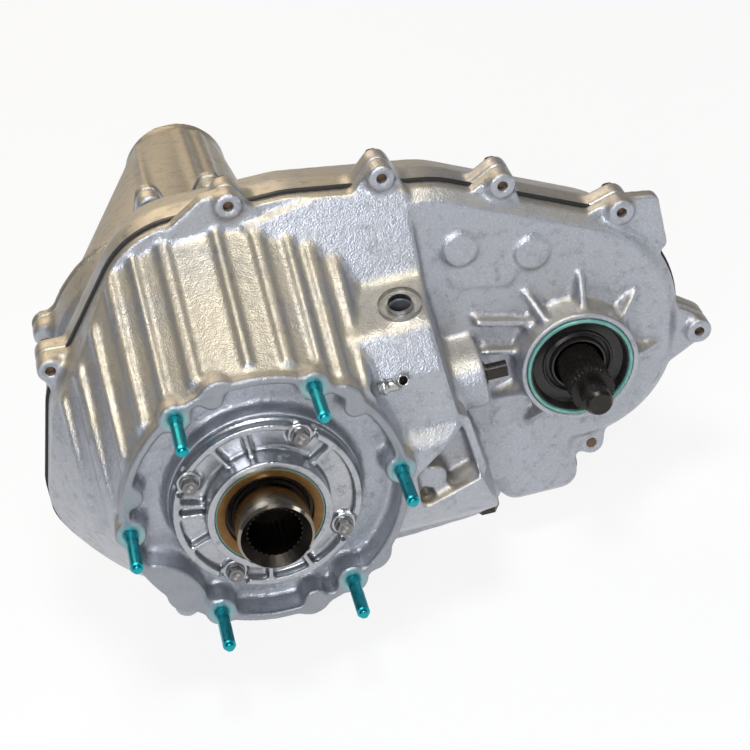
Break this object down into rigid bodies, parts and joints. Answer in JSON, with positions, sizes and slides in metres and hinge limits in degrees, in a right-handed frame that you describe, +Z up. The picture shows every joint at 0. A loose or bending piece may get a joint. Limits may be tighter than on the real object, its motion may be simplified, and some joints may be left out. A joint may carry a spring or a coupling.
{
  "type": "transfer case",
  "caption": "Chain drive transfer case in ribbed cast aluminium with a studded adapter flange, planetary low range, shift sector, side output and long tail housing.",
  "frame": {"origin": "centre of the circle of studs on the adapter flange face, on the input shaft axis", "axes": "+Y rearward along the shafts, +X from the main shaft to the front output shaft, +Z up as installed"},
  "size_m": [0.5427, 0.6198, 0.3755],
  "materials": {
    "cast_aluminium": "bare sand cast, rough",
    "bolt_steel": "phosphate grey",
    "zinc_steel": "zinc plated",
    "black_steel": "black oxide",
    "machined_steel": "ground and turned",
    "black_sealant": "cured bead",
    "seal_rubber": "moulded",
    "bronze": "bored"
  },
  "bodies": {
    "case": {"front_case": "cast_aluminium", "rear_case": "cast_aluminium", "extension_housing": "cast_aluminium", "bearing_retainer": "cast_aluminium", "case_sealant": "black_sealant", "case_bolts": "bolt_steel", "extension_bolts": "bolt_steel", "adapter_studs": "zinc_steel", "vent_tube": "zinc_steel", "drain_plug": "black_steel", "fill_plug": "black_steel", "retainer_bolts": "bolt_steel", "input_seal": "seal_rubber", "output_seal": "seal_rubber", "tail_seal": "seal_rubber", "sector_seal": "seal_rubber", "shaft_bearings": "machined_steel", "tail_bushing": "bronze", "ring_gear": "machined_steel", "ring_gear_snap_ring": "machined_steel", "oil_pump": "zinc_steel", "pickup_tube": "zinc_steel", "pickup_screen": "zinc_steel", "sump_magnet": "black_steel", "shift_rail": "machined_steel", "drive_chain": "machined_steel"},
    "input": {"input_gear": "machined_steel", "pilot_bearing": "machined_steel"},
    "carrier": {"planet_carrier": "machined_steel"},
    "planet_1": {"planet_gear_1": "machined_steel"},
    "planet_2": {"planet_gear_2": "machined_steel"},
    "planet_3": {"planet_gear_3": "machined_steel"},
    "planet_4": {"planet_gear_4": "machined_steel"},
    "main": {"main_shaft": "machined_steel", "mode_hub": "machined_steel", "tone_wheel": "machined_steel", "drive_sprocket": "machined_steel"},
    "range_collar": {"range_collar": "machined_steel"},
    "mode_sleeve": {"mode_sleeve": "machined_steel"},
    "front_output": {"front_output_shaft": "black_steel", "driven_sprocket": "machined_steel"},
    "sector": {"sector_shaft": "black_steel", "sector_plate": "machined_steel"},
    "range_fork": {"range_fork": "machined_steel"},
    "mode_fork": {"mode_fork": "machined_steel"}
  },
  "joints": [
    {"name": "input_spin", "type": "hinge", "parent": "case", "child": "input", "pos_m": [0, 0, 0], "axis": [0, 1, 0], "continuous": true},
    {"name": "carrier_spin", "type": "hinge", "parent": "case", "child": "carrier", "pos_m": [0, 0.06, 0], "axis": [0, 1, 0], "continuous": true},
    {"name": "main_shaft_spin", "type": "hinge", "parent": "case", "child": "main", "pos_m": [0, 0.2, 0], "axis": [0, 1, 0], "continuous": true},
    {"name": "front_output_spin", "type": "hinge", "parent": "case", "child": "front_output", "pos_m": [0.264, 0.1, 0], "axis": [0, 1, 0], "continuous": true},
    {"name": "range_collar_slide", "type": "slide", "parent": "main", "child": "range_collar", "axis": [0, 1, 0], "range_m": [0, 0.012]},
    {"name": "mode_sleeve_slide", "type": "slide", "parent": "main", "child": "mode_sleeve", "axis": [0, 1, 0], "range_m": [-0.01, 0]},
    {"name": "sector_turn", "type": "hinge", "parent": "case", "child": "sector", "pos_m": [0.15, 0.085, 0.012], "axis": [-1, 0, 0], "range_deg": [0, 28]},
    {"name": "range_fork_slide", "type": "slide", "parent": "case", "child": "range_fork", "axis": [0, 1, 0], "range_m": [0, 0.012]},
    {"name": "mode_fork_slide", "type": "slide", "parent": "case", "child": "mode_fork", "axis": [0, 1, 0], "range_m": [-0.01, 0]},
    {"name": "planet_1_spin", "type": "hinge", "parent": "carrier", "child": "planet_1", "pos_m": [0.0595, 0.06, 0], "axis": [0, 1, 0], "continuous": true},
    {"name": "planet_2_spin", "type": "hinge", "parent": "carrier", "child": "planet_2", "pos_m": [0, 0.06, 0.0595], "axis": [0, 1, 0], "continuous": true},
    {"name": "planet_3_spin", "type": "hinge", "parent": "carrier", "child": "planet_3", "pos_m": [-0.0595, 0.06, 0], "axis": [0, 1, 0], "continuous": true},
    {"name": "planet_4_spin", "type": "hinge", "parent": "carrier", "child": "planet_4", "pos_m": [0, 0.06, -0.0595], "axis": [0, 1, 0], "continuous": true}
  ],
  "couplings": [
    {"joint": "carrier_spin", "follows": "input_spin", "ratio": 0.36765},
    {"joint": "main_shaft_spin", "follows": "input_spin", "ratio": 1},
    {"joint": "front_output_spin", "follows": "input_spin", "ratio": 1},
    {"joint": "range_fork_slide", "follows": "sector_turn", "m_per_rad": 0.024555},
    {"joint": "range_collar_slide", "follows": "sector_turn", "m_per_rad": 0.024555},
    {"joint": "mode_sleeve_slide", "follows": "mode_fork_slide", "ratio": 1},
    {"joint": "planet_1_spin", "follows": "input_spin", "ratio": -1.7565},
    {"joint": "planet_2_spin", "follows": "input_spin", "ratio": -1.7565},
    {"joint": "planet_3_spin", "follows": "input_spin", "ratio": -1.7565},
    {"joint": "planet_4_spin", "follows": "input_spin", "ratio": -1.7565}
  ]
}
